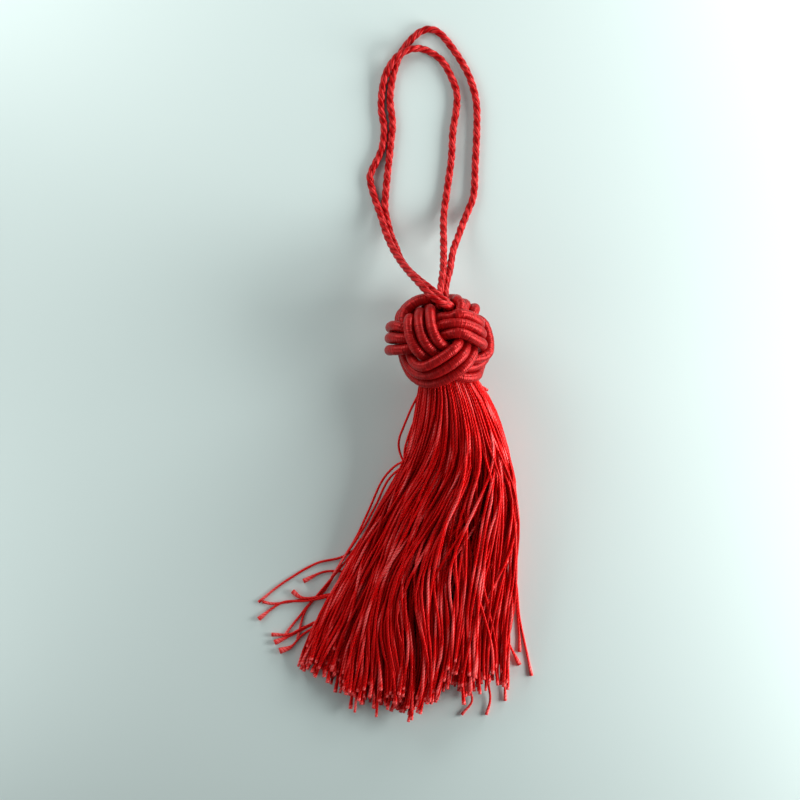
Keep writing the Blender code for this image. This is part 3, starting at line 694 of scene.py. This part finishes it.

# %% [markdown]
# ## Stray threads
# A few threads have left the heap, most of them at the left, and lie on the table. Random draws could scatter
# them, but then they would lie anywhere. Each one is a short list of given places instead, which starts
# inside the skirt and ends in a cut, frayed tip.

# %% Where the strays lie
#    how many times as thick as a thread the cut tip is, then places
STRAYS = (
    (1.2, (-8.0, -30.7, 2.6), (-12.8, -38.7, 2.0), (-15.4, -42.3, 1.2), (-20.6, -46.1, 0.4),
     (-26.2, -47.6, 0.26), (-32.8, -51.5, 0.26), (-37.6, -55.3, 0.26)),
    (1.3, (-15.0, -50.9, 2.2), (-19.2, -52.7, 1.2), (-28.4, -54.7, 0.3), (-34.2, -55.6, 0.26),
     (-36.8, -55.2, 0.7)),
    (1.9, (-15.0, -51.9, 1.6), (-19.2, -53.2, 0.9), (-27.2, -54.9, 0.8), (-32.2, -55.2, 0.6),
     (-34.8, -56.5, 0.3), (-37.6, -58.7, 0.4)),
    (1.9, (-14.2, -51.2, 1.6), (-18.2, -49.7, 0.8), (-21.4, -49.1, 0.3), (-24.8, -49.3, 0.26),
     (-28.6, -51.1, 0.4)),
    (2.1, (-17.0, -51.6, 1.6), (-21.2, -53.2, 1.0), (-24.8, -54.2, 0.8), (-28.8, -54.4, 0.8),
     (-30.8, -53.1, 0.5)),
    (1.2, (-17.5, -42.0, 2.0), (-20.6, -46.7, 1.0), (-24.2, -52.7, 0.3), (-27.2, -55.4, 0.26),
     (-29.2, -57.9, 0.26), (-31.6, -60.9, 0.26), (-32.6, -62.5, 0.3)),
    (1.2, (-17.0, -42.5, 2.0), (-19.8, -46.7, 1.2), (-26.2, -54.4, 0.5), (-28.4, -57.4, 0.26),
     (-29.8, -62.7, 0.3)),
    (1.6, (-19.4, -55.6, 2.2), (-23.2, -57.7, 1.2), (-29.2, -60.7, 0.6), (-31.6, -61.8, 0.5),
     (-35.0, -61.8, 0.4)),
    (2.2, (-19.4, -55.9, 1.8), (-23.2, -58.0, 1.0), (-29.2, -61.0, 0.4), (-31.6, -62.2, 0.3),
     (-34.4, -63.4, 0.4)),
    (2.6, (-20.2, -56.6, 1.6), (-24.2, -59.1, 0.9), (-28.6, -61.7, 0.4), (-31.0, -64.2, 0.4),
     (-33.4, -65.1, 0.4)),
    (1.4, (12.0, -40.7, 2.2), (13.2, -46.7, 1.2), (14.2, -52.1, 0.4), (14.8, -58.5, 0.26),
     (16.4, -66.1, 0.26), (17.2, -70.1, 0.3)),
    (1.4, (12.4, -40.7, 1.6), (13.7, -48.3, 0.7), (14.2, -54.7, 0.3), (14.8, -62.7, 0.26),
     (14.8, -65.3, 0.3)),
    (1.8, (9.4, -56.7, 1.4), (12.4, -63.1, 0.6), (14.8, -67.9, 0.4)),
    (1.0, (-3.6, -22.3, 8.0), (-7.6, -26.3, 5.4), (-10.4, -28.1, 3.4), (-12.9, -31.1, 1.8),
     (-15.4, -36.7, 0.6), (-17.9, -42.1, 0.8), (-20.4, -46.2, 1.0), (-23.0, -50.4, 1.2)),
    (1.0, (-3.0, -22.3, 7.6), (-7.4, -26.9, 5.0), (-11.4, -30.5, 2.6), (-14.0, -35.7, 1.2),
     (-16.6, -40.5, 0.8), (-19.2, -44.3, 1.2), (-21.6, -48.4, 1.4)),
    (1.0, (-5.0, -12.6, 8.0), (-6.9, -16.3, 6.6), (-8.4, -19.9, 4.6), (-9.4, -22.7, 3.0), (-9.2, -25.3, 2.2),
     (-7.6, -28.7, 2.6), (-5.6, -32.0, 3.0)),
    (1.1, (3.2, -9.8, 9.0), (5.2, -10.9, 8.8), (6.8, -11.9, 8.6), (8.3, -12.8, 8.4)),
    (1.0, (-4.2, -14.6, 8.4), (-6.0, -18.0, 7.2), (-7.4, -21.6, 5.4), (-8.3, -25.0, 3.8), (-8.2, -28.4, 3.2),
     (-9.6, -32.6, 3.0)),
    (1.2, (-2.0, -58.7, 3.4), (0.4, -66.7, 2.4), (5.2, -74.1, 0.8), (3.2, -77.9, 0.4)),
    (1.3, (7.6, -62.7, 3.0), (8.4, -70.7, 1.6), (8.9, -74.7, 0.7), (8.1, -77.9, 0.4)),
    (1.3, (11.4, -60.7, 1.6), (11.8, -68.7, 0.8), (11.9, -75.1, 0.4)),
)
print("the strays go through", sum(len(places) for _, *places in STRAYS), "places")

# %% Stray threads
STRAY_SIDES, STRAY_RINGS, STRAY_STEP = 8, 60, 0.3
STRAY_THICKNESS = 0.95  # in thicknesses of a thread
TIP_LENGTH = 3.5
# a stray's tone sits a little above 1, so a faint painted sheen lies along it; by the tip it climbs past the
# painted sheen to the cut end
STRAY_TONE, TIP_TONE, TIP_SHARPNESS = 1.05, 1.8, 14


def stray_tube(places, tip):
    """One stray: its route at even distances, and a radius that grows to the tip's over its last part,
    thread radius * (thickness + (tip - thickness) * step(1 - distance left / tip length))."""
    fine = through(places, STRAY_STEP)
    along = distance_along(fine[None])[0]
    marks = along[-1] * np.linspace(0.0, 1.0, STRAY_RINGS)
    route = np.stack([np.interp(marks, along, fine[:, axis]) for axis in range(3)], axis=1)
    left = (along[-1] - marks) / TIP_LENGTH
    return route, THREAD_RADIUS * (STRAY_THICKNESS + (tip - STRAY_THICKNESS) * smooth_step(1 - left))


strays = [stray_tube(places, tip) for tip, *places in STRAYS]
stray_lines, stray_radii = (np.stack(parts) for parts in zip(*strays))
stray_rings = swept(stray_lines, UP, np.repeat(stray_radii[..., None], STRAY_SIDES, axis=-1))
stray_along = distance_along(stray_lines)
stray_tone = STRAY_TONE + TIP_TONE * np.linspace(0.0, 1.0, STRAY_RINGS)[None] ** TIP_SHARPNESS
stray_tone = stray_tone * np.ones(stray_along.shape)
stray_threads = add_tubes("stray_threads", stray_rings, stray_along, stray_tone)
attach(stray_threads, "root")
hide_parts("skirt")
print(len(STRAYS), "strays, with", len(stray_threads.data.polygons), "faces")

# %% [markdown]
# ## Finishes
# Dyed silk is bright because light goes into its clear fibres and comes back red: even its highlights are
# red. A partly metallic shader with a red tint gives highlights of that kind. An image of threads could carry
# the twist, but it would stretch in the bends. Here each finish reads the way round and along its own cord
# from the UV map, so the twist and the winding follow every bend, and their grooves get painted shade. From
# the tone it reads how dark the dye is, where pale highlights are painted along a thread, and where a thread
# is cut.


# %% A small class for shader maths
class Wire:
    """A socket of a finish. Arithmetic on it adds Math nodes, also from the right, so that 1 - mask works."""

    def __init__(self, finish, socket):
        self.finish, self.socket = finish, socket

    def maths(self, operation, *values):
        """One Math node on these values or wires."""
        return self.finish.node("ShaderNodeMath", {"operation": operation}, dict(enumerate(values)))

    def __add__(self, other):
        return self.maths("ADD", self, other)

    def __sub__(self, other):
        return self.maths("SUBTRACT", self, other)

    def __rsub__(self, other):
        return self.maths("SUBTRACT", other, self)

    def __mul__(self, other):
        return self.maths("MULTIPLY", self, other)

    def __truediv__(self, other):
        return self.maths("DIVIDE", self, other)

    def __pow__(self, other):
        return self.maths("POWER", self, other)

    def __abs__(self):
        return self.maths("ABSOLUTE", self)

    def cosine(self):
        """The cosine of the value, in radians."""
        return self.maths("COSINE", self)

    __radd__ = __add__
    __rmul__ = __mul__


class Finish:
    """A material in the making. Every node of it comes from the method node."""

    def __init__(self, name):
        self.material = bpy.data.materials.new(name)
        self.material.use_nodes = True
        self.tree = self.material.node_tree
        self.tree.nodes.clear()

    def node(self, kind, settings, values, output=0):
        """Adds a node: first its settings, then the values or wires of its sockets. Gives one output."""
        node = self.tree.nodes.new(kind)
        for name, value in settings.items():
            setattr(node, name, value)
        for key, value in values.items():
            if isinstance(value, Wire):
                self.tree.links.new(value.socket, node.inputs[key])
            else:
                node.inputs[key].default_value = value
        return None if output is None else Wire(self, node.outputs[output])

    def noise(self, scale, detail=2.0, place=None):
        """Noise with so many features for each metre of the object, or for each unit of another place."""
        if place is None:
            place = self.node("ShaderNodeTexCoord", {}, {}, "Object")
        return self.node("ShaderNodeTexNoise", {}, {"Vector": place, "Scale": scale, "Detail": detail})

    def wrap(self):
        """The way round a cord, from 0 to 1, and the millimetres along it."""
        wrap = self.node("ShaderNodeUVMap", {"uv_map": "wrap"}, {})
        return [self.node("ShaderNodeSeparateXYZ", {}, {0: wrap}, axis) for axis in ("X", "Y")]

    def mix(self, factor, first, second):
        """The first colour where the factor is 0, and the second where it is 1."""
        colours = {0: factor, 6: first, 7: second}
        return self.node("ShaderNodeMix", {"data_type": "RGBA"}, colours, 2)

    def bump(self, height, strength, depth):
        """A normal that rises and falls with the height, up to a depth in millimetres."""
        values = {"Height": height, "Strength": strength, "Distance": depth * MM}
        return self.node("ShaderNodeBump", {}, values)

    def shade(self, values):
        """The closing shader with these values or wires. Gives the finished material."""
        shader = self.node("ShaderNodeBsdfPrincipled", {}, values)
        self.node("ShaderNodeOutputMaterial", {}, {"Surface": shader}, None)
        return self.material


trial = Finish("trial")
mask = 1 - abs(trial.noise(1.0) * 2.0 - 1.0)
print("one line of shader maths made", len(mask.finish.tree.nodes), "nodes")
bpy.data.materials.remove(trial.material)

# %% Finish of the threads
SILK_SHINE = {"Metallic": 0.1, "Specular IOR Level": 0.38, "Specular Tint": (1.0, 0.28, 0.26, 1.0)}
# the pale colour of the painted highlights
PAINTED_SHEEN = (1.0, 0.15, 0.145, 1.0)
CUT_END = (0.75, 0.03, 0.03, 1.0)
PAINTED_SHEEN_FROM, PAINTED_SHEEN_GAIN = 1.0, 1.5  # a painted highlight grows with the tone above 1
CUT_FROM, CUT_GAIN = 4.2, 2.0  # a cut end shows where 2 * tone is above 4.2
STREAK_SCALE = 260.0
ROUNDNESS = 0.6  # ridges and plies are rounder than a cosine, by this power
RIDGE_STRENGTH = 0.8


def thread_finish(name, plies, pitch, laid_plies, shade, lit, groove_depth):
    """Twisted silk: ridge = |cos(pi (plies * way round - along / pitch))|, with painted shade in the grooves
    between the ridges. A cord laid of several plies also gets painted shade between those, as
    |cos(pi * laid plies * way round)|. The tone is the dye up to 1, pale painted highlights on the ridges up
    to 2, and a cut end above."""
    finish = Finish(name)
    way_round, along = finish.wrap()
    tone = finish.node("ShaderNodeAttribute", {"attribute_name": "tone"}, {}, "Fac")
    ridge = abs(((way_round * plies - along / pitch) * math.pi).cosine())
    streak = finish.noise(STREAK_SCALE)
    outside = abs((way_round * (laid_plies * math.pi)).cosine()) ** ROUNDNESS
    # painted shade: on top of the dye, the colour darkens in the twist's grooves and between laid plies
    colour = finish.mix(tone * (0.40 + ridge * 0.5 + streak * 0.3) * outside, shade, lit)
    # painted highlight: where the tone is above 1, the ridges are painted pale
    colour = finish.mix((tone - PAINTED_SHEEN_FROM) * PAINTED_SHEEN_GAIN * ridge * outside, colour, PAINTED_SHEEN)
    colour = finish.mix(tone * CUT_GAIN - CUT_FROM, colour, CUT_END)
    bump = finish.bump(ridge**ROUNDNESS, RIDGE_STRENGTH, groove_depth)
    roughness = 0.22 + streak * 0.12
    return finish.shade({"Base Color": colour, "Roughness": roughness, "Normal": bump, **SILK_SHINE})


skirt_finish = thread_finish(
    "thread_silk_twisted", plies=2, pitch=0.7, laid_plies=0, shade=(0.20, 0.0003, 0.0006, 1),
    lit=(0.80, 0.0015, 0.002, 1), groove_depth=0.07,
)
# the loops' three laid plies get painted shade in the furrows between them
loop_finish = thread_finish(
    "loop_silk", plies=9, pitch=1.6, laid_plies=3, shade=(0.14, 0.0005, 0.001, 1),
    lit=(0.58, 0.006, 0.008, 1), groove_depth=0.05,
)
for piece in (skirt, stray_threads, head):
    piece.data.materials.append(skirt_finish)
for piece in (outer_loop, inner_loop):
    piece.data.materials.append(loop_finish)
print("the finish of the threads has", len(skirt_finish.node_tree.nodes), "nodes")

# %% Finish of the satin cord
WINDING_PITCH = 0.40
SATIN_SHINE = {"Metallic": 0.25, "Specular IOR Level": 0.45, "Specular Tint": (1.0, 0.4, 0.38, 1.0)}
# the satin's colour is mixed between painted shade and painted light of the same satin
SATIN_PAINTED_SHADE, SATIN_PAINTED_LIT = (0.16, 0.0008, 0.0015, 1), (0.62, 0.012, 0.013, 1)
UNEVEN_SCALE, UNEVEN_BY, WINDING_LEAN = 420.0, 0.3, 0.36  # the last two in millimetres along the cord
FLOSS_ROUND, FLOSS_ALONG = 3.0, 2.4  # features round the cord, and for each millimetre along it
WINDING_STRENGTH, WINDING_DEPTH = 0.7, 0.05


def satin_finish():
    """A core wound with fine floss: ridge = |cos(pi * along / pitch)|, with the place along made uneven by
    noise and leaned by the way round. The height is a sum of ridge^2 and the floss's noise. So is the colour,
    as painted shade in the grooves of the winding and painted glints where the floss's noise is high."""
    finish = Finish("cord_silk_wound")
    way_round, along = finish.wrap()
    uneven = finish.noise(UNEVEN_SCALE)
    wound = along + uneven * UNEVEN_BY + way_round * WINDING_LEAN
    ridge = abs((wound * (math.pi / WINDING_PITCH)).cosine())
    place = finish.node("ShaderNodeCombineXYZ", {}, {0: way_round * FLOSS_ROUND, 1: along * FLOSS_ALONG})
    floss = finish.noise(1.0, place=place)
    # painted shade in the winding's grooves, and painted glints where the floss's noise is high
    colour = finish.mix(ridge**2 * 0.15 + floss * 1.5 - 0.35, SATIN_PAINTED_SHADE, SATIN_PAINTED_LIT)
    bump = finish.bump(ridge**2 * 0.8 + floss * 3.0, WINDING_STRENGTH, WINDING_DEPTH)
    roughness = 0.24 + floss * 0.2
    return finish.shade({"Base Color": colour, "Roughness": roughness, "Normal": bump, **SATIN_SHINE})


knot.data.materials.append(satin_finish())
print("the finish of the satin cord has", len(knot.data.materials[0].node_tree.nodes), "nodes")

# %% [markdown]
# ## Paper, light and shade
# The tassel lies on pale, slightly cool paper. A broad window at the right lays soft shadows to the left.
# A second window in the upper right corner and a weaker one at the upper left light the skirt along its
# threads, a pale wall at the left returns a little of the light, and a faint sky fills the rest. One small
# lamp would cut harder shadows than silk on paper has in daylight, and a sky alone would leave it flat.

# %% Paper
PAPER_HALF = 0.9  # metres
PAPER_CORNERS = [(x * PAPER_HALF, y * PAPER_HALF, 0) for x, y in ((-1, -1), (1, -1), (1, 1), (-1, 1))]
# the paper is mottled between these two colours by broad noise, as painted uneven light and shade
PAPER_DULL, PAPER_PALE = (0.66, 0.785, 0.76, 1), (0.70, 0.82, 0.79, 1)
PAINTED_LIGHT_MOTTLE_SCALE, PAINTED_LIGHT_MOTTLE_DETAIL = 14.0, 3.0


def add_paper():
    """A level sheet at height 0, mottled between dull and pale by broad noise as painted uneven light."""
    mesh = bpy.data.meshes.new("paper")
    mesh.from_pydata(PAPER_CORNERS, [], [(0, 1, 2, 3)])
    floor = bpy.data.objects.new("paper", mesh)
    bpy.context.scene.collection.objects.link(floor)
    finish = Finish("pale_paper")
    colour = finish.mix(finish.noise(PAINTED_LIGHT_MOTTLE_SCALE, PAINTED_LIGHT_MOTTLE_DETAIL), PAPER_DULL, PAPER_PALE)
    mesh.materials.append(finish.shade({"Base Color": colour, "Roughness": 0.85, "Specular IOR Level": 0.2}))


add_paper()
print("the paper is a square of", 2 * PAPER_HALF, "metres")

# %% Light
LIGHT_AIM = (0.0, -10.0, 0.0)
#    name, place, size in millimetres, watts
LIGHTS = (
    ("window", (205.0, -39.0, 75.0), 125.0, 0.65),
    ("corner_window", (136.0, 141.0, 51.0), 90.0, 0.29),
    ("far_window", (-112.0, 105.0, 76.0), 100.0, 0.125),
    ("pale_wall", (-124.0, -52.0, 60.0), 90.0, 0.037),
)
SKY_COLOUR, SKY_STRENGTH = (0.92, 0.98, 1.0, 1.0), 0.14


def add_area_light(name, place, size, watts):
    """A square area light at a layout place, turned to face the aim."""
    data = bpy.data.lights.new(name, "AREA")
    data.shape, data.size, data.energy = "SQUARE", size * MM, watts
    light = bpy.data.objects.new(name, data)
    light.location = to_frame(place)
    direction = to_frame(LIGHT_AIM) - to_frame(place)
    light.rotation_euler = Vector(direction).to_track_quat("-Z", "Y").to_euler()
    light.visible_camera = False
    bpy.context.scene.collection.objects.link(light)


for light in LIGHTS:
    add_area_light(*light)
sky = bpy.data.worlds.new("sky")
sky.use_nodes = True
sky.node_tree.nodes["Background"].inputs["Color"].default_value = SKY_COLOUR
sky.node_tree.nodes["Background"].inputs["Strength"].default_value = SKY_STRENGTH
bpy.context.scene.world = sky
bpy.context.scene.view_settings.view_transform = "Standard"
print(len(LIGHTS), "lights of", round(sum(watts for *_, watts in LIGHTS), 2), "watts together, and a sky")
